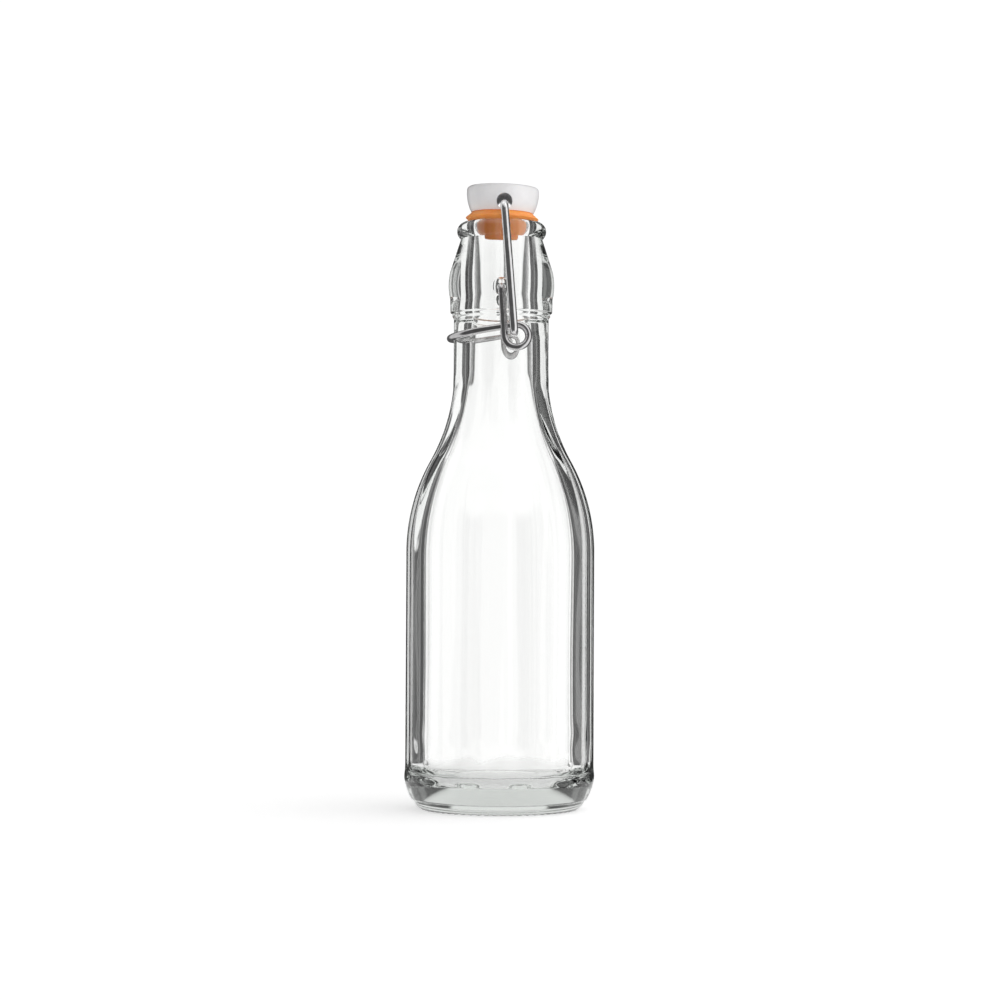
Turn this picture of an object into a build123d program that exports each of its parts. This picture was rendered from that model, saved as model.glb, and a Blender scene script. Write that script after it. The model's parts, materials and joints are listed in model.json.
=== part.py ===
from build123d import *
import math
import os

# Swing-top bottle: faceted clear glass, white stopper with a rubber gasket, and a two-wire bail closure.
# Millimetres. Z is up, and the origin is the middle of the ring that the bottle stands on.
# The pivots of the closure lie along Y. The lever's thumb bow points to -X.

# ---- bottle, outside ----
facet_count = 12
facet_turn = -3.0  # degrees that the body's facets are turned against the finish
body_radius = 29.6  # across the rounded edges between facets
body_apothem = 28.65  # axis to the flat of a facet
base_radius = 29.85  # the plain round band under the facets
shoulder_start = 80.6
shoulder_end = 137.6
neck_radius = 14.9
facet_neck_apothem = 14.55
facet_fade_radius = 14.98  # the flats run out where the neck gets this narrow
facet_bottom = 8.2
collar_bottom = 155.6
collar_low_radius = 15.95
collar_radius = 16.6
collar_belly = 164.4
cone_top = 178.9
cone_top_radius = 12.8
lip_top = 184.3
lip_bead_radius = 3.0
lip_bead_middle = 11.0

# ---- bottle, inside ----
mouth_radius = 8.5
neck_bore_radius = 9.8
cavity_radius = 25.6
cavity_floor = 8.8
cavity_floor_middle = 10.2
cavity_corner_radius = 20.6  # where the floor starts to turn up into the wall
cavity_corner_top = 15.5
cavity_shoulder_start = 78.0
cavity_shoulder_end = 140.0

# ---- base ----
heel_radius = 24.3
bearing_inner_radius = 21.6
punt_height = 2.6

# ---- closure ----
pivot_z = 162.5
lever_wire = 2.2
bail_wire = 2.5
running_gap = 0.05
pivot_depth = 13.4  # distance from the axis to the bottom of a blind pivot hole
dimple_radius = 2.9
dimple_depth = 1.8
eye_x = 4.66
eye_z = 147.2
eye_radius = 3.6  # to the wire's centreline
eye_seat_offset = 1.15  # how far off the eye's centre the bail hangs
eye_seat_angle = 125.0
bow_slope = 9.0
bow_radius = 16.2
lever_leg_y = 18.45
bail_leg_y = 20.95
bail_shoulder_y = 15.0
bail_knee = 18.0  # distance below the top bar where the legs turn parallel
bail_end_y = 15.4
bail_bar_x = 0.8
bail_bar_z = 188.65

# ---- stopper and gasket ----
seat_tilt = 1.7  # degrees that the stopper leans to +X on the lip
stopper_top = 195.35
stopper_top_radius = 11.35
stopper_bottom = 187.2
stopper_bottom_radius = 9.8
stopper_bore_radius = 2.45
stopper_bore_x = 0.6  # the bore is moulded a little off the middle
stem_radius = 4.2
stem_bottom = 179.4
flange_radius = 11.45
flange_tip_z = 185.4
gasket_top_radius = 9.4
plug_radius = 7.75
plug_bottom = 179.3
nub_radius = 5.35
nub_bottom = 176.8
gasket_seat = lip_top + 0.05


def outline_face(points):
    """A face in the XZ plane. A step is a point, for a straight line, or a pair (middle, end), for an arc."""
    with BuildSketch(Plane.XZ) as sketch:
        with BuildLine():
            here = points[0]
            for step in points[1:]:
                if isinstance(step[0], tuple):
                    ThreePointArc(here, step[0], step[1])
                    here = step[1]
                else:
                    Line(here, step)
                    here = step
            Line(here, points[0])
        make_face()
    return sketch.sketch


def turned(points):
    """A solid of revolution about Z."""
    return revolve(outline_face(points), axis=Axis.Z)


def s_curve(start, end):
    """Two tangent arcs of one radius, from upright at start, through a slope, to upright at end."""
    rise = end[1] - start[1]
    drop = start[0] - end[0]
    turn = 2 * math.atan2(drop, rise)
    radius = rise / math.sin(turn) / 2
    step_in = radius * (1 - math.cos(turn / 2))
    step_up = radius * math.sin(turn / 2)
    middle = (start[0] - drop / 2, start[1] + rise / 2)
    low = (start[0] - step_in, start[1] + step_up)
    high = (end[0] + step_in, end[1] - step_up)
    return [(low, middle), (high, end)]


def wedge():
    """A slice of the space round +X, one facet wide."""
    long = 2 * body_radius
    half = math.pi / facet_count
    with BuildSketch(Plane.XY.offset(-1)) as sketch:
        with BuildLine():
            Polyline(
                (0, 0),
                (long * math.cos(half), -long * math.sin(half)),
                (long * math.cos(half), long * math.sin(half)),
                close=True,
            )
        make_face()
    return extrude(sketch.sketch, amount=lip_top + 20)


def facet_slice(solid, apothem, bottom, shoulder, neck, fade_radius):
    """One slice of a turned solid, with its flat cut. The flat starts in a round toe at the bottom."""
    outside = body_radius + 15
    toe_out = 1.5
    toe_up = 5.8
    toe_radius = (toe_out**2 + toe_up**2) / (2 * toe_out)
    half_turn = math.asin(toe_up / toe_radius) / 2
    toe_middle = (
        apothem + toe_radius * (1 - math.cos(half_turn)),
        bottom + toe_up - toe_radius * math.sin(half_turn),
    )
    points = [
        (outside, bottom),
        (apothem + toe_out, bottom),
        (toe_middle, (apothem, bottom + toe_up)),
        (apothem, shoulder),
        *s_curve((apothem, shoulder), neck),
        (outside, neck[1]),
    ]
    core = outline_face([(0, 0), (fade_radius, 0), (fade_radius, lip_top), (0, lip_top)])
    cutter = extrude(outline_face(points) - core, amount=body_radius, both=True)
    return (solid & wedge()) - cutter


def pivot_holes():
    """On each side of the collar, a shallow round dimple with a blind hole for the lever's end."""
    ball_radius = (dimple_radius**2 + dimple_depth**2) / (2 * dimple_depth)
    ball_y = collar_radius - dimple_depth + ball_radius
    hole_length = collar_radius + 1 - pivot_depth
    holes = []
    for side in (-1, 1):
        holes.append(Pos(0, side * ball_y, pivot_z) * Sphere(ball_radius))
        middle = Pos(0, side * (pivot_depth + hole_length / 2), pivot_z)
        holes.append(middle * Rot(90, 0, 0) * Cylinder(lever_wire / 2 + running_gap, hole_length))
    return holes


def make_bottle():
    bead_end = math.radians(-45)
    bead_z = lip_top - lip_bead_radius
    bead_low = (
        lip_bead_middle + lip_bead_radius * math.cos(bead_end),
        bead_z + lip_bead_radius * math.sin(bead_end),
    )
    outside = turned([
        (0, punt_height),
        ((bearing_inner_radius * 0.55, punt_height * 0.75), (bearing_inner_radius, 0.0)),
        (heel_radius, 0.0),
        ((25.85, 1.25), (26.9, 3.1)),
        (27.6, 3.4),
        ((29.1, 6.9), (base_radius, 12.0)),
        (base_radius, 20.0),
        (body_radius, 37.0),
        (body_radius, shoulder_start),
        *s_curve((body_radius, shoulder_start), (neck_radius, shoulder_end)),
        (neck_radius, collar_bottom - 2.0),
        ((neck_radius + 0.2, collar_bottom - 0.9), (neck_radius + 0.75, collar_bottom - 0.3)),
        (collar_low_radius, collar_bottom),
        (collar_low_radius + 0.15, collar_belly - 4.4),
        ((collar_radius, collar_belly), (collar_radius - 0.5, collar_belly + 4.2)),
        (cone_top_radius, cone_top),
        bead_low,
        ((lip_bead_middle + lip_bead_radius, bead_z), (lip_bead_middle, lip_top)),
        (mouth_radius + 1.0, lip_top),
        ((mouth_radius + 0.3, lip_top - 0.3), (mouth_radius, lip_top - 1.0)),
        (mouth_radius, 100.0),
        (0, 100.0),
    ])
    outside_slice = facet_slice(
        outside, body_apothem, facet_bottom, shoulder_start, (facet_neck_apothem, shoulder_end), facet_fade_radius
    )
    cavity = turned([
        (0, cavity_floor_middle),
        ((cavity_corner_radius * 0.5, cavity_floor_middle - 0.4), (cavity_corner_radius, cavity_floor)),
        ((cavity_radius - 1.5, cavity_floor + 2.2), (cavity_radius, cavity_corner_top)),
        (cavity_radius, cavity_shoulder_start),
        *s_curve((cavity_radius, cavity_shoulder_start), (neck_bore_radius, cavity_shoulder_end)),
        (mouth_radius, collar_bottom + 2),
        (mouth_radius, lip_top + 5),
        (0, lip_top + 5),
    ])
    glass_slice = outside_slice - cavity
    step = 360 / facet_count
    first = -90 + facet_turn + step / 2
    slices = [Rot(0, 0, first + step * i) * glass_slice for i in range(facet_count)]
    return slices[0].fuse(*slices[1:]) - pivot_holes()


def wire(path, diameter):
    """A round wire along a path."""
    section = Plane(origin=path @ 0, z_dir=path % 0) * Circle(diameter / 2)
    return sweep(section, path=path)


def both_sides(half):
    """The wires are the same on both sides of the XZ plane."""
    return half + mirror(half, about=Plane.XZ)


def eye_seat():
    """Where the bail's hooked end hangs in the lever's eye, as (x, z)."""
    angle = math.radians(eye_seat_angle)
    return (eye_x + eye_seat_offset * math.cos(angle), eye_z + eye_seat_offset * math.sin(angle))


def make_lever():
    """From a pivot end in the collar, down a leg, once round the eye, and along the bow to its middle."""
    reach = math.hypot(eye_x, pivot_z - eye_z)
    lean = math.atan2(eye_x, pivot_z - eye_z) - math.asin(eye_radius / reach)
    slope = math.radians(bow_slope)

    def on_eye(angle, y):
        return (eye_x + eye_radius * math.cos(angle), y, eye_z + eye_radius * math.sin(angle))

    left = math.pi + lean
    bottom = math.radians(270)
    top = math.radians(90)
    # The far half of the eye leans in, so that the handle passes inside the leg.
    lean_radius = math.hypot(eye_radius, (lever_leg_y - bow_radius) / 2)
    far_side = (eye_x + lean_radius, -(lever_leg_y + bow_radius) / 2, eye_z)
    handle_start = on_eye(top + slope, -bow_radius)
    along = (-math.cos(slope), 0, -math.sin(slope))
    bow_z = handle_start[2] - handle_start[0] * math.tan(slope)
    half = math.radians(45)
    bow_middle = (
        bow_radius * math.sin(half) * along[0],
        -bow_radius * math.cos(half),
        bow_z + bow_radius * math.sin(half) * along[2],
    )
    bow_tip = (bow_radius * along[0], 0, bow_z + bow_radius * along[2])
    leg = FilletPolyline(
        (0, -(pivot_depth + 0.3), pivot_z),
        (0, -lever_leg_y, pivot_z),
        on_eye(left, -lever_leg_y),
        radius=lever_wire * 0.8,
    )
    eye = [
        ThreePointArc(
            on_eye(left, -lever_leg_y),
            on_eye((left + bottom) / 2, -lever_leg_y),
            on_eye(bottom, -lever_leg_y),
        ),
        ThreePointArc(on_eye(bottom, -lever_leg_y), far_side, on_eye(top, -bow_radius)),
        ThreePointArc(on_eye(top, -bow_radius), on_eye(top + slope / 2, -bow_radius), handle_start),
    ]
    handle = Line(handle_start, (0, -bow_radius, bow_z))
    bow = ThreePointArc((0, -bow_radius, bow_z), bow_middle, bow_tip)
    path = Wire(leg.edges() + [arc.edge() for arc in eye] + handle.edges() + bow.edges())
    return both_sides(wire(path, lever_wire))


def make_bail():
    """From the middle of the top bar, out and down a leg, to the hooked end in the lever's eye."""
    seat_x, seat_z = eye_seat()
    length = math.hypot(seat_x - bail_bar_x, bail_bar_z - seat_z)
    down = ((seat_x - bail_bar_x) / length, (seat_z - bail_bar_z) / length)

    def at(below, y):
        return (bail_bar_x + down[0] * below, -y, bail_bar_z + down[1] * below)

    path = FilletPolyline(
        at(0, 0), at(0, bail_shoulder_y), at(bail_knee, bail_leg_y), at(length, bail_leg_y), at(length, bail_end_y),
        radius=(3.0, 12.0, bail_wire * 0.7),
    )
    return both_sides(wire(path.wire(), bail_wire))


def stem():
    """The stopper's stem, with a bead that holds the rubber on."""
    return turned([
        (0, stopper_bottom + 1),
        (0, stem_bottom),
        (stem_radius - 0.6, stem_bottom),
        ((stem_radius - 0.15, stem_bottom + 0.2), (stem_radius, stem_bottom + 0.7)),
        (stem_radius, stopper_bottom - 4.6),
        ((stem_radius + 0.6, stopper_bottom - 3.6), (stem_radius, stopper_bottom - 2.6)),
        (stem_radius, stopper_bottom + 1),
    ])


def seated(solid):
    """Leans a piece to +X about the bail's top bar, as the bail pulls it down on the lip."""
    return Pos(bail_bar_x, 0, bail_bar_z) * Rot(0, seat_tilt, 0) * Pos(-stopper_bore_x, 0, -bail_bar_z) * solid


def make_stopper():
    head = turned([
        (0, stopper_bottom),
        (stopper_bottom_radius, stopper_bottom),
        ((stopper_top_radius - 0.35, stopper_bottom + 3.2), (stopper_top_radius, stopper_top - 1.3)),
        ((stopper_top_radius - 0.3, stopper_top - 0.45), (stopper_top_radius - 1.2, stopper_top - 0.05)),
        (stopper_top_radius - 4, stopper_top),
        (0, stopper_top),
    ])
    bore_z = bail_bar_z + stopper_bore_radius - bail_wire / 2 - running_gap
    bore = Pos(stopper_bore_x, 0, bore_z) * Rot(90, 0, 0) * Cylinder(stopper_bore_radius, 3 * stopper_top_radius)
    return seated(head + stem() - bore)


def make_gasket():
    rubber = turned([
        (0, stopper_bottom),
        (gasket_top_radius, stopper_bottom),
        (flange_radius - 0.15, flange_tip_z + 0.2),
        ((flange_radius, flange_tip_z), (flange_radius - 0.2, flange_tip_z - 0.2)),
        (flange_radius - 1.3, gasket_seat - 0.4),
        (plug_radius, gasket_seat - 0.4),
        (plug_radius, plug_bottom + 0.6),
        ((plug_radius - 0.18, plug_bottom + 0.18), (plug_radius - 0.6, plug_bottom)),
        (nub_radius, plug_bottom),
        (nub_radius - 0.15, nub_bottom + 0.6),
        ((nub_radius - 0.35, nub_bottom + 0.17), (nub_radius - 0.8, nub_bottom)),
        (0, nub_bottom),
    ])
    # The flange is squeezed flat and level where it sits on the lip, whichever way the stopper leans.
    lip = turned([
        (mouth_radius - 0.25, gasket_seat - 2),
        (mouth_radius + 10, gasket_seat - 2),
        (mouth_radius + 10, gasket_seat),
        (mouth_radius - 0.25, gasket_seat),
    ])
    return seated(rubber - stem()) - lip


def main():
    os.makedirs("parts", exist_ok=True)
    pieces = {
        "bottle": make_bottle(),
        "stopper": make_stopper(),
        "gasket": make_gasket(),
        "bail": make_bail(),
        "lever": make_lever(),
    }
    for name, piece in pieces.items():
        piece.label = name
        export_step(piece, f"parts/{name}.step")
    seat_x, seat_z = eye_seat()
    print(f"bail hangs in the eye at x {seat_x:.3f}, z {seat_z:.3f}")


main()
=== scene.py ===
import json
import math

import bpy
import numpy as np
from mathutils import Matrix


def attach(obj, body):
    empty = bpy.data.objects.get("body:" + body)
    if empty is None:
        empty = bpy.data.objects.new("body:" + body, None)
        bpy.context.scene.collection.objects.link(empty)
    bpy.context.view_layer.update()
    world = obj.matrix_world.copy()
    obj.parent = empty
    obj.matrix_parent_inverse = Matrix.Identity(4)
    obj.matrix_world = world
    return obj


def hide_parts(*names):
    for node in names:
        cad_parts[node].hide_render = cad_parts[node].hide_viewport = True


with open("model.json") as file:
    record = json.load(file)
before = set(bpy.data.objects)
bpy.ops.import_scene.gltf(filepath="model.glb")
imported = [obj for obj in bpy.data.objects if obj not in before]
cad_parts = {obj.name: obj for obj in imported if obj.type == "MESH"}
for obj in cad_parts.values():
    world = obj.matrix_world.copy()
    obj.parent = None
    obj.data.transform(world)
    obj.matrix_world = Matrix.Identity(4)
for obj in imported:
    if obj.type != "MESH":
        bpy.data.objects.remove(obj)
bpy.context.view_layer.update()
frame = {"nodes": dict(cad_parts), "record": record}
nodes = frame["nodes"]
joints = {joint["name"]: joint for joint in frame["record"]["behaviour"]["joints"]}
scene = bpy.context.scene

# ---- camera and studio, in metres and degrees ----
camera_place = (-0.00014, -0.855, 0.079)
camera_lens = 98.0
camera_pitch = 1.2  # up
camera_roll = 0.27
floor_far = 6.0
table_near = (0.06, 0.15)  # the table that glass and metal see fades out between these radii
table_shade = 0.72
table_glow = 0.56
backdrop = 1.04  # what the camera sees behind everything
studio_white = 1.13  # what the glass sees
card_dark = 0.08
card_start = 24.0  # from the line of sight to the near edge of a pair of dark cards
card_end = 40.0  # to the gap between the two cards, which lies on the diagonal
card_soft = 2.0
gap_soft = 3.0
diagonal_gap = 0.15  # how bright the gap is
card_low = (-0.42, -0.32)  # sine of the elevation where the cards fade out below
card_high = (0.36, 0.50)  # and above
key_right = 0.78  # matt surfaces have a soft key light, mostly from +X
key_front = 0.12
key_level = 0.70
key_least = 0.02
soft_boxes = ((122, 30, 1.0), (-60, 22, 0.7))  # azimuth from +Y to +X, half width, brightness
soft_box_edge = 8.0
soft_box_top = (0.75, 0.9)  # sine of the elevation where the soft boxes fade to half
overhead = (0.7, 0.9, 0.9)  # the overhead light's edge, as two sines, and its brightness
dim_level = 0.10

# ---- glass, in millimetres ----
mm = 0.001
columns = 360
facet_count = 12
facet_turn = -3.0
facet_round = 1.2  # how far the edge between two facets is rounded
facet_blend = 0.5  # how softly a facet runs into the turned surface
body_radius = 29.8  # this and the apothem are before the edges are rounded
body_apothem = 28.85
base_radius = 29.85
shoulder = (80.6, 137.6)
neck_radius = 14.9
facet_neck_apothem = 14.55
facet_bottom = 8.2
facet_toe = (1.5, 5.8)  # how far the toe of a facet runs out and up
facet_top = (131.0, 138.0)  # the flats fade into the round neck
facet_fade = 0.9  # how far they move out as they do
collar_bottom = 155.6
collar_low_radius = 15.95
collar_radius = 16.6
collar_belly = 164.4
cone_top = 178.9
cone_top_radius = 12.8
lip_top = 184.3
bead_radius = 3.0
bead_middle = 11.0
mouth_radius = 8.5
bore_radius = 9.8
cavity_radius = 25.6
cavity_shoulder = (78.0, 140.0)
cavity_corner = (20.6, 15.5)
cavity_floor = 8.8
cavity_facet = 0.15  # depth of the soft facets that show on the inside
cavity_wave = 0.06  # unevenness of the wall
cavity_ripple = 0.06  # and of the corner at the floor
heel_radius = 24.3
heel_outline = (  # each step is the middle and the end of an arc, up to the plain band
    ((25.95, 1.35), (26.85, 2.9)),
    ((26.95, 3.15), (27.2, 3.28)),
    ((27.5, 3.42), (27.75, 3.75)),
    ((29.1, 6.9), (base_radius, 12.0)),
)
base_band_top = 20.0
body_start = 37.0
bearing_radius = 21.6
bearing_height = 0.06  # the troughs between the knurls
punt_height = 2.6
knurl_count = 60
knurl_depth = 0.16
beyond = 40.0  # an apothem that cuts nothing
dimple_radius = 2.9
dimple_depth = 1.8
hole_radius = 1.15
hole_bottom = 13.4
hole_edge = 0.15


# ---------------------------------------------------------------- helpers


def material(name):
    made = bpy.data.materials.new(name)
    made.use_nodes = True
    made.node_tree.nodes.clear()
    return made, made.node_tree.nodes, made.node_tree.links


def assign(obj, made):
    obj.data.materials.clear()
    obj.data.materials.append(made)


def noise(n, links, scale, detail=3.0, stretch=(1, 1, 1)):
    """Noise in the object's own space."""
    coords = n.new("ShaderNodeTexCoord")
    mapping = n.new("ShaderNodeMapping")
    mapping.inputs["Scale"].default_value = stretch
    texture = n.new("ShaderNodeTexNoise")
    texture.inputs["Scale"].default_value = scale
    texture.inputs["Detail"].default_value = detail
    links.new(coords.outputs["Object"], mapping.inputs["Vector"])
    links.new(mapping.outputs["Vector"], texture.inputs["Vector"])
    return texture.outputs["Fac"]


def spread(n, links, value, low, high):
    """The middle of a noise, stretched to the range low to high."""
    node = n.new("ShaderNodeMapRange")
    node.inputs["From Min"].default_value = 0.3
    node.inputs["From Max"].default_value = 0.7
    node.inputs["To Min"].default_value = low
    node.inputs["To Max"].default_value = high
    links.new(value, node.inputs["Value"])
    return node.outputs[0]


def between(n, links, value, low, high):
    """A colour between two, by a noise."""
    mix = n.new("ShaderNodeMix")
    mix.data_type = "RGBA"
    mix.inputs["A"].default_value = (*low, 1)
    mix.inputs["B"].default_value = (*high, 1)
    links.new(spread(n, links, value, 0.0, 1.0), mix.inputs["Factor"])
    return mix.outputs["Result"]


def bump(n, links, value, strength, distance, under=None):
    node = n.new("ShaderNodeBump")
    node.inputs["Strength"].default_value = strength
    node.inputs["Distance"].default_value = distance
    links.new(value, node.inputs["Height"])
    if under is not None:
        links.new(under, node.inputs["Normal"])
    return node.outputs["Normal"]


# ---------------------------------------------------------------- studio


def make_camera():
    data = bpy.data.cameras.new("camera")
    data.lens = camera_lens
    data.clip_end = 50
    camera = bpy.data.objects.new("camera", data)
    camera.location = camera_place
    tilt = Matrix.Rotation(math.radians(90 + camera_pitch), 3, "X")
    roll = Matrix.Rotation(math.radians(camera_roll), 3, "Z")
    camera.rotation_euler = (tilt @ roll).to_euler()
    scene.collection.objects.link(camera)
    scene.camera = camera


def make_floor_material():
    made, n, links = material("floor_white")
    out = n.new("ShaderNodeOutputMaterial")
    shader = n.new("ShaderNodeBsdfPrincipled")
    shader.inputs["Base Color"].default_value = (table_shade, table_shade, table_shade, 1)
    shader.inputs["Roughness"].default_value = 0.9
    shader.inputs["Specular IOR Level"].default_value = 0.0
    shader.inputs["Emission Color"].default_value = (1, 1, 1, 1)
    shader.inputs["Emission Strength"].default_value = table_glow
    coords = n.new("ShaderNodeTexCoord")
    reach = n.new("ShaderNodeVectorMath")
    reach.operation = "LENGTH"
    links.new(coords.outputs["Object"], reach.inputs[0])
    path = n.new("ShaderNodeLightPath")
    fade = n.new("ShaderNodeMapRange")
    fade.interpolation_type = "SMOOTHSTEP"
    fade.inputs["From Min"].default_value = table_near[0]
    fade.inputs["From Max"].default_value = table_near[1]
    links.new(reach.outputs["Value"], fade.inputs["Value"])
    links.new(path.outputs["Is Glossy Ray"], fade.inputs["To Max"])
    clear = n.new("ShaderNodeBsdfTransparent")
    mix = n.new("ShaderNodeMixShader")
    links.new(fade.outputs[0], mix.inputs["Fac"])
    links.new(shader.outputs[0], mix.inputs[1])
    links.new(clear.outputs[0], mix.inputs[2])
    links.new(mix.outputs[0], out.inputs["Surface"])
    return made


def make_floor():
    """A white table. Glass and metal see only the part near the bottle, and the studio beyond it."""
    made = make_floor_material()
    count = 96
    turn = [2 * math.pi * i / count for i in range(count)]
    near = [(table_near[1] * math.cos(a), table_near[1] * math.sin(a), 0) for a in turn]
    far = [(floor_far * math.cos(a), floor_far * math.sin(a), 0) for a in turn]
    ring = [(i, (i + 1) % count, count + (i + 1) % count, count + i) for i in range(count)]
    shapes = {"floor_near": (near, [tuple(range(count))]), "floor_far": (far + near, ring)}
    for name, (vertices, faces) in shapes.items():
        mesh = bpy.data.meshes.new(name)
        mesh.from_pydata(vertices, [], faces)
        floor = bpy.data.objects.new(name, mesh)
        scene.collection.objects.link(floor)
        assign(floor, made)
        floor.visible_glossy = name == "floor_near"
        floor.visible_transmission = name == "floor_near"


def make_world():
    """A white studio. Dark cards beside the line of sight turn with the camera and give the glass its lines."""
    world = bpy.data.worlds.new("studio")
    scene.world = world
    world.use_nodes = True
    world.cycles.sampling_method = "NONE"
    n, links = world.node_tree.nodes, world.node_tree.links
    n.clear()

    def math_node(kind, a, b=None, c=None):
        node = n.new("ShaderNodeMath")
        node.operation = kind
        for i, value in enumerate((a, b, c)):
            if isinstance(value, (int, float)):
                node.inputs[i].default_value = value
            elif value is not None:
                links.new(value, node.inputs[i])
        return node.outputs[0]

    def step_node(value, start, end, low=0.0, high=1.0):
        node = n.new("ShaderNodeMapRange")
        node.interpolation_type = "SMOOTHSTEP"
        node.inputs["From Min"].default_value = start
        node.inputs["From Max"].default_value = end
        node.inputs["To Min"].default_value = low
        node.inputs["To Max"].default_value = high
        links.new(value, node.inputs["Value"])
        return node.outputs[0]

    def choose(when, yes, no):
        node = n.new("ShaderNodeMix")
        node.data_type = "FLOAT"
        links.new(when, node.inputs["Factor"])
        for name, value in (("A", no), ("B", yes)):
            if isinstance(value, float):
                node.inputs[name].default_value = value
            else:
                links.new(value, node.inputs[name])
        return node.outputs["Result"]

    coords = n.new("ShaderNodeTexCoord")
    split = n.new("ShaderNodeSeparateXYZ")
    links.new(coords.outputs["Generated"], split.inputs[0])
    azimuth = math_node("ARCTAN2", split.outputs[0], split.outputs[1])
    seen = n.new("ShaderNodeSeparateXYZ")
    links.new(coords.outputs["Camera"], seen.inputs[0])
    aside = math_node("ARCTAN2", seen.outputs[0], seen.outputs[2])
    off = math_node("ABSOLUTE", math_node("WRAP", aside, math.radians(45), math.radians(-45)))
    level = math_node("ABSOLUTE", split.outputs[2])
    side = step_node(off, math.radians(card_start - card_soft), math.radians(card_start + card_soft))
    gap = step_node(off, math.radians(card_end), math.radians(card_end + gap_soft), 0.0, diagonal_gap)
    low_edge = step_node(seen.outputs[1], *card_low)
    high_edge = step_node(seen.outputs[1], *card_high, 1.0, 0.0)
    tall = math_node("MULTIPLY", low_edge, high_edge)
    cards = math_node("MULTIPLY", math_node("MULTIPLY", side, tall), math_node("SUBTRACT", 1.0, gap))
    pattern = math_node("MULTIPLY_ADD", cards, card_dark - studio_white, studio_white)
    key = math_node("MULTIPLY_ADD", split.outputs[0], key_right, key_level)
    key = math_node("MULTIPLY_ADD", split.outputs[1], -key_front, key)
    key = math_node("MAXIMUM", key, key_least)
    # reflections have a tall soft box in front to the right, a weaker one to the left, and one overhead
    boxes = dim_level
    for middle, half, bright in soft_boxes:
        turned = math_node("ADD", azimuth, math.radians(-middle))
        away = math_node("ABSOLUTE", math_node("WRAP", turned, math.pi, -math.pi))
        inner = math.radians(half - soft_box_edge)
        outer = math.radians(half + soft_box_edge)
        boxes = math_node("ADD", step_node(away, inner, outer, bright, 0.0), boxes)
    boxes = math_node("MULTIPLY", boxes, step_node(level, *soft_box_top, 1.0, 0.5))
    edge_low, edge_high, bright = overhead
    boxes = math_node("ADD", boxes, step_node(split.outputs[2], edge_low, edge_high, 0.0, bright))
    path = n.new("ShaderNodeLightPath")
    reflected = math_node("SUBTRACT", path.outputs["Is Glossy Ray"], path.outputs["Is Transmission Ray"])
    strength = choose(reflected, boxes, pattern)
    scattered = math_node("GREATER_THAN", path.outputs["Diffuse Depth"], 0.5)
    strength = choose(scattered, key, strength)
    strength = choose(path.outputs["Is Camera Ray"], backdrop, strength)
    back = n.new("ShaderNodeBackground")
    back.inputs["Color"].default_value = (1, 1, 1, 1)
    links.new(strength, back.inputs["Strength"])
    out = n.new("ShaderNodeOutputWorld")
    links.new(back.outputs[0], out.inputs["Surface"])


# ---------------------------------------------------------------- glass


def arc(start, middle, end, step):
    """Points along the arc through three points, without the first."""
    (ax, ay), (bx, by), (cx, cy) = start, middle, end
    d = 2 * (ax * (by - cy) + bx * (cy - ay) + cx * (ay - by))
    a2, b2, c2 = ax * ax + ay * ay, bx * bx + by * by, cx * cx + cy * cy
    ux = (a2 * (by - cy) + b2 * (cy - ay) + c2 * (ay - by)) / d
    uy = (a2 * (cx - bx) + b2 * (ax - cx) + c2 * (bx - ax)) / d
    radius = math.hypot(ax - ux, ay - uy)
    first = math.atan2(ay - uy, ax - ux)
    half = (math.atan2(by - uy, bx - ux) - first + math.pi) % (2 * math.pi) - math.pi
    rest = (math.atan2(cy - uy, cx - ux) - first - half + math.pi) % (2 * math.pi) - math.pi
    turn = half + rest
    count = max(3, math.ceil(radius * abs(turn) / step))
    angles = [first + turn * (i + 1) / count for i in range(count)]
    return [(ux + radius * math.cos(a), uy + radius * math.sin(a)) for a in angles]


def line(start, end, step):
    count = max(1, math.ceil(math.dist(start, end) / step))
    return [
        (start[0] + (end[0] - start[0]) * (i + 1) / count, start[1] + (end[1] - start[1]) * (i + 1) / count)
        for i in range(count)
    ]


def s_curve(start, end):
    """Two tangent arcs of one radius, from upright at start, through a slope, to upright at end."""
    rise = end[1] - start[1]
    drop = start[0] - end[0]
    turn = 2 * math.atan2(drop, rise)
    radius = rise / math.sin(turn) / 2
    step_in = radius * (1 - math.cos(turn / 2))
    step_up = radius * math.sin(turn / 2)
    middle = (start[0] - drop / 2, start[1] + rise / 2)
    return [((start[0] - step_in, start[1] + step_up), middle), ((end[0] + step_in, end[1] - step_up), end)]


def reversed_curve(start, end):
    """The same two arcs, walked from end to start."""
    (low, middle), (high, _) = s_curve(start, end)
    return [(high, middle), (low, start)]


def s_radius(start, end, z):
    """The radius of the same curve at a height."""
    rise = end[1] - start[1]
    drop = start[0] - end[0]
    radius = rise / math.sin(2 * math.atan2(drop, rise)) / 2
    low = start[0] - radius + np.sqrt(np.maximum(radius**2 - (z - start[1]) ** 2, 0))
    high = end[0] + radius - np.sqrt(np.maximum(radius**2 - (end[1] - z) ** 2, 0))
    curve = np.where(z < (start[1] + end[1]) / 2, low, high)
    return np.where(z < start[1], start[0], np.where(z > end[1], end[0], curve))


def sampled(points, step_line, step_arc):
    """A run of points along an outline. A step is a point, or a pair (middle, end) for an arc."""
    here = points[0]
    run = [here]
    for step in points[1:]:
        if isinstance(step[0], tuple):
            run += arc(here, step[0], step[1], step_arc)
            here = step[1]
        else:
            run += line(here, step, step_line)
            here = step
    return run


def soft_min(a, b, width):
    near = np.maximum(width - np.abs(a - b), 0) / width
    return np.minimum(a, b) - near * near * width / 4


def smooth_step(value, low, high):
    t = np.clip((value - low) / (high - low), 0, 1)
    return t * t * (3 - 2 * t)


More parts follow.
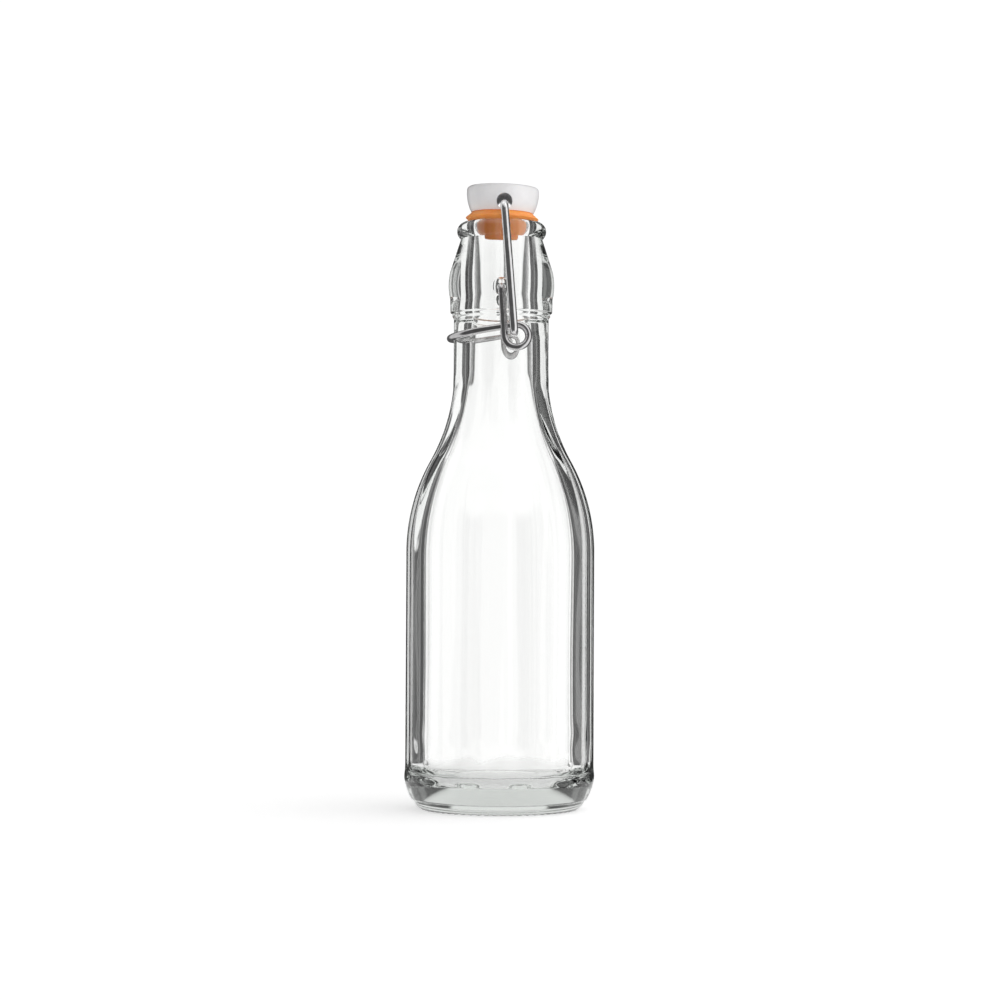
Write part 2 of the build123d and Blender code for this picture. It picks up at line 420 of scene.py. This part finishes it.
def glass_rows():
    """The outline of the outside, from the middle of the base to the mouth, and of the inside, back down."""
    bead_z = lip_top - bead_radius
    slant = math.radians(-45)
    bead_low = (bead_middle + bead_radius * math.cos(slant), bead_z + bead_radius * math.sin(slant))
    outside = sampled([
        (0.6, punt_height),
        ((bearing_radius * 0.55, punt_height * 0.75), (bearing_radius - 1.0, 0.35)),
        ((bearing_radius - 0.4, 0.15), (bearing_radius + 0.3, bearing_height)),
        (heel_radius - 0.5, bearing_height),
        ((heel_radius + 0.1, 0.14), (heel_radius + 0.5, 0.35)),
        *heel_outline,
        (base_radius, base_band_top),
        (body_radius, body_start),
        (body_radius, shoulder[0]),
        *s_curve((body_radius, shoulder[0]), (neck_radius, shoulder[1])),
        (neck_radius, collar_bottom - 2.6),
        ((neck_radius + 0.12, collar_bottom - 1.7), (neck_radius + 0.45, collar_bottom - 1.2)),
        (neck_radius + 0.45, collar_bottom - 0.5),
        ((neck_radius + 0.55, collar_bottom - 0.15), (neck_radius + 0.85, collar_bottom - 0.05)),
        ((collar_low_radius, collar_bottom + 0.08), (collar_low_radius + 0.04, collar_bottom + 0.35)),
        (collar_low_radius + 0.15, collar_belly - 4.4),
        ((collar_radius, collar_belly), (collar_radius - 0.5, collar_belly + 4.2)),
        (cone_top_radius, cone_top),
        bead_low,
        ((bead_middle + bead_radius, bead_z), (bead_middle, lip_top)),
        (mouth_radius + 1.0, lip_top),
        ((mouth_radius + 0.3, lip_top - 0.3), (mouth_radius, lip_top - 1.0)),
    ], 1.5, 0.35)
    inside = sampled([
        (mouth_radius, lip_top - 1.0),
        (mouth_radius, collar_bottom + 6),
        ((mouth_radius + 0.35, collar_bottom), (bore_radius - 0.15, cavity_shoulder[1] + 8)),
        (bore_radius, cavity_shoulder[1]),
        *reversed_curve((cavity_radius, cavity_shoulder[0]), (bore_radius, cavity_shoulder[1])),
        (cavity_radius, cavity_corner[1]),
        ((cavity_radius - 1.5, cavity_floor + 2.2), (cavity_corner[0], cavity_floor)),
        ((10.0, cavity_floor + 1.1), (0.6, cavity_floor + 1.4)),
    ], 1.5, 0.6)
    return outside, inside[1:]


def outer_radius(r, z, angle):
    """The turned radius with the facets cut, their toes at the bottom and their soft ends on the neck."""
    run_out, run_up = facet_toe
    toe_radius = (run_out**2 + run_up**2) / (2 * run_out)
    apothem = s_radius((body_apothem, shoulder[0]), (facet_neck_apothem, shoulder[1]), z)
    below = facet_bottom + run_up - z
    apothem += np.where(below > 0, toe_radius - np.sqrt(np.maximum(toe_radius**2 - below**2, 0)), 0)
    apothem = np.where(below > run_up, beyond, apothem)
    apothem += smooth_step(z, *facet_top) * facet_fade
    apothem = np.where(z > facet_top[1], beyond, apothem)
    pitch = 2 * math.pi / facet_count
    prism = soft_min(apothem / np.cos(angle), apothem / np.cos(pitch - np.abs(angle)), facet_round)
    return soft_min(r, prism, facet_blend)


def inner_radius(r, z, angle, around):
    """The inside follows the facets softly, and is a little uneven as blown glass is."""
    pitch = 2 * math.pi / facet_count
    swell = (1 + np.cos(angle / pitch * 2 * math.pi)) / 2
    reach = smooth_step(z, 10.5, 18.0) * (1 - smooth_step(z, 105.0, 132.0))
    uneven = np.sin(3 * around + z * 0.05) + 0.7 * np.sin(5 * around - z * 0.09 + 1.0)
    near_floor = smooth_step(z, 9.5, 13.0) * (1 - smooth_step(z, 18.0, 34.0))
    ripple = np.sin(facet_count * around + 0.6) * np.sin(z * 0.5 + 2 * np.sin(2 * around))
    return r - (cavity_facet * swell + cavity_wave * uneven) * reach - cavity_ripple * ripple * near_floor


def level_ring(radius, turn, z):
    """Points round the bottle's axis, in metres."""
    return np.stack([radius * np.cos(turn), radius * np.sin(turn), z], axis=1) * mm


def lathe(name, rings):
    """A closed mesh from rings of points, each (count, 3), with a point in the middle of each end."""
    count = len(rings[0])
    vertices = np.concatenate(rings)
    ends = [rings[0].mean(axis=0), rings[-1].mean(axis=0)]
    faces = []
    for row in range(len(rings) - 1):
        a = row * count
        b = a + count
        for i in range(count):
            j = (i + 1) % count
            faces.append((a + i, a + j, b + j, b + i))
    first = len(vertices)
    last_row = (len(rings) - 1) * count
    for i in range(count):
        j = (i + 1) % count
        faces.append((first, j, i))
        faces.append((first + 1, last_row + i, last_row + j))
    mesh = bpy.data.meshes.new(name)
    mesh.from_pydata(np.concatenate([vertices, ends]).tolist(), [], faces)
    mesh.update()
    piece = bpy.data.objects.new(name, mesh)
    scene.collection.objects.link(piece)
    return piece


def make_cutter(side):
    """The shape of a pivot's round dimple and its blind hole, along Y."""
    ball = (dimple_radius**2 + dimple_depth**2) / (2 * dimple_depth)
    ball_y = collar_radius - dimple_depth + ball
    rim = math.asin(hole_radius / ball)
    profile = [
        (0.01, hole_bottom),
        (hole_radius - hole_edge, hole_bottom),
        (hole_radius, hole_bottom + hole_edge),
    ]
    start = ball_y - ball * math.cos(rim)
    profile += [(hole_radius, start - hole_edge), (hole_radius + 0.12, start + 0.02)]
    steps = 20
    for i in range(3, steps + 1):
        angle = rim + (math.radians(75) - rim) * i / steps
        profile.append((ball * math.sin(angle), ball_y - ball * math.cos(angle)))
    profile.append((0.01, profile[-1][1]))
    count = 64
    turn = np.arange(count) * 2 * math.pi / count
    pivot = joints["lever_pivot"]["pos_m"]
    rings = []
    for radius, y in profile:
        rings.append(np.stack([
            pivot[0] + radius * mm * np.cos(turn),
            np.full(count, side * y * mm),
            pivot[2] - side * radius * mm * np.sin(turn),
        ], axis=1))
    return lathe(f"cutter_{side}", rings)


def make_bottle_mesh():
    turn = np.arange(columns) * 2 * math.pi / columns
    pitch = 2 * math.pi / facet_count
    first = math.radians(-90 + facet_turn) + pitch / 2
    to_facet = (turn - first + pitch / 2) % pitch - pitch / 2
    outside, inside = glass_rows()
    rings = []
    for r, z in outside:
        radius = outer_radius(np.full(columns, r), np.full(columns, z), to_facet)
        knurled = smooth_step(r, bearing_radius, bearing_radius + 0.6)
        knurled *= 1 - smooth_step(r, heel_radius, heel_radius + 1.0)
        knurl = knurled * (z < 1.0) * knurl_depth * (1 + np.cos(knurl_count * turn)) / 2
        rings.append(level_ring(radius, turn, z + knurl))
    for r, z in inside:
        radius = inner_radius(np.full(columns, r), np.full(columns, z), to_facet, turn)
        rings.append(level_ring(radius, turn, np.full(columns, z)))
    glass = lathe("bottle_glass", rings)
    for side in (-1, 1):
        cutter = make_cutter(side)
        cut = glass.modifiers.new("pivot", "BOOLEAN")
        cut.operation = "DIFFERENCE"
        cut.solver = "EXACT"
        cut.object = cutter
        bpy.context.view_layer.update()
        graph = bpy.context.evaluated_depsgraph_get()
        mesh = bpy.data.meshes.new_from_object(glass.evaluated_get(graph))
        glass.modifiers.clear()
        glass.data = mesh
        bpy.data.objects.remove(cutter)
    glass.data.shade_smooth()
    glass.data.set_sharp_from_angle(angle=math.radians(40))
    return glass


def make_glass():
    made, n, links = material("clear_glass")
    out = n.new("ShaderNodeOutputMaterial")
    shader = n.new("ShaderNodeBsdfPrincipled")
    shader.inputs["Base Color"].default_value = (0.995, 0.995, 0.993, 1)
    shader.inputs["Transmission Weight"].default_value = 1.0
    shader.inputs["IOR"].default_value = 1.52
    haze = noise(n, links, 90.0)
    links.new(spread(n, links, haze, 0.0, 0.02), shader.inputs["Roughness"])
    drift = noise(n, links, 55.0, detail=1.0, stretch=(1, 1, 0.25))
    links.new(bump(n, links, drift, 0.12, 0.0004), shader.inputs["Normal"])
    volume = n.new("ShaderNodeVolumeAbsorption")
    volume.inputs["Color"].default_value = (0.61, 0.64, 0.615, 1)
    volume.inputs["Density"].default_value = 22.0
    links.new(shader.outputs[0], out.inputs["Surface"])
    links.new(volume.outputs[0], out.inputs["Volume"])
    return made


# ---------------------------------------------------------------- closure materials


def make_glaze():
    made, n, links = material("white_glaze")
    out = n.new("ShaderNodeOutputMaterial")
    shader = n.new("ShaderNodeBsdfPrincipled")
    mottle = noise(n, links, 260.0)
    white = between(n, links, mottle, (0.80, 0.79, 0.80), (0.85, 0.845, 0.85))
    links.new(white, shader.inputs["Base Color"])
    links.new(spread(n, links, noise(n, links, 500.0), 0.28, 0.40), shader.inputs["Roughness"])
    fine = bump(n, links, noise(n, links, 1500.0, detail=2.0), 0.15, 0.00004)
    waves = bump(n, links, noise(n, links, 220.0, detail=1.0), 0.2, 0.0002, fine)
    links.new(waves, shader.inputs["Normal"])
    shader.inputs["Subsurface Weight"].default_value = 0.15
    shader.inputs["Subsurface Radius"].default_value = (1.0, 0.9, 0.8)
    shader.inputs["Subsurface Scale"].default_value = 0.001
    shader.inputs["Coat Weight"].default_value = 0.35
    shader.inputs["Coat Roughness"].default_value = 0.12
    links.new(shader.outputs[0], out.inputs["Surface"])
    return made


def make_rubber():
    made, n, links = material("orange_rubber")
    out = n.new("ShaderNodeOutputMaterial")
    shader = n.new("ShaderNodeBsdfPrincipled")
    bloom = noise(n, links, 350.0, detail=4.0)
    orange = between(n, links, bloom, (0.90, 0.31, 0.055), (0.98, 0.40, 0.10))
    links.new(orange, shader.inputs["Base Color"])
    links.new(spread(n, links, noise(n, links, 900.0), 0.42, 0.6), shader.inputs["Roughness"])
    links.new(bump(n, links, noise(n, links, 2600.0, detail=4.0), 0.35, 0.00005), shader.inputs["Normal"])
    shader.inputs["Subsurface Weight"].default_value = 0.3
    shader.inputs["Subsurface Radius"].default_value = (1.0, 0.4, 0.1)
    shader.inputs["Subsurface Scale"].default_value = 0.002
    # painted light: a faint orange emission makes the rubber glow, standing in for light passing through the
    # thin rubber
    shader.inputs["Emission Color"].default_value = (1.0, 0.25, 0.10, 1)
    shader.inputs["Emission Strength"].default_value = 0.10
    links.new(shader.outputs[0], out.inputs["Surface"])
    return made


def make_steel(name, low, high, rough):
    """Drawn wire: fine die lines, and a haze where it has been handled and bent."""
    made, n, links = material(name)
    out = n.new("ShaderNodeOutputMaterial")
    shader = n.new("ShaderNodeBsdfPrincipled")
    shader.inputs["Metallic"].default_value = 1.0
    haze = noise(n, links, 420.0, detail=4.0)
    links.new(between(n, links, haze, low, high), shader.inputs["Base Color"])
    links.new(spread(n, links, haze, rough, rough + 0.12), shader.inputs["Roughness"])
    drawn = noise(n, links, 2200.0, detail=2.0, stretch=(1, 1, 0.06))
    dents = bump(n, links, noise(n, links, 300.0, detail=2.0), 0.15, 0.0001)
    links.new(bump(n, links, drawn, 0.2, 0.00003, dents), shader.inputs["Normal"])
    links.new(shader.outputs[0], out.inputs["Surface"])
    return made


make_camera()
make_floor()
make_world()
glass = make_bottle_mesh()
assign(glass, make_glass())
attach(glass, "bottle")
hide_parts("bottle")
assign(nodes["stopper"], make_glaze())
assign(nodes["gasket"], make_rubber())
assign(nodes["bail"], make_steel("bail_steel", (0.70, 0.69, 0.69), (0.82, 0.82, 0.83), 0.10))
assign(nodes["lever"], make_steel("lever_steel", (0.52, 0.51, 0.51), (0.70, 0.69, 0.70), 0.12))

scene.view_settings.view_transform = "Standard"
scene.cycles.max_bounces = 24
scene.cycles.transmission_bounces = 24
scene.cycles.glossy_bounces = 8
scene.cycles.use_denoising = True
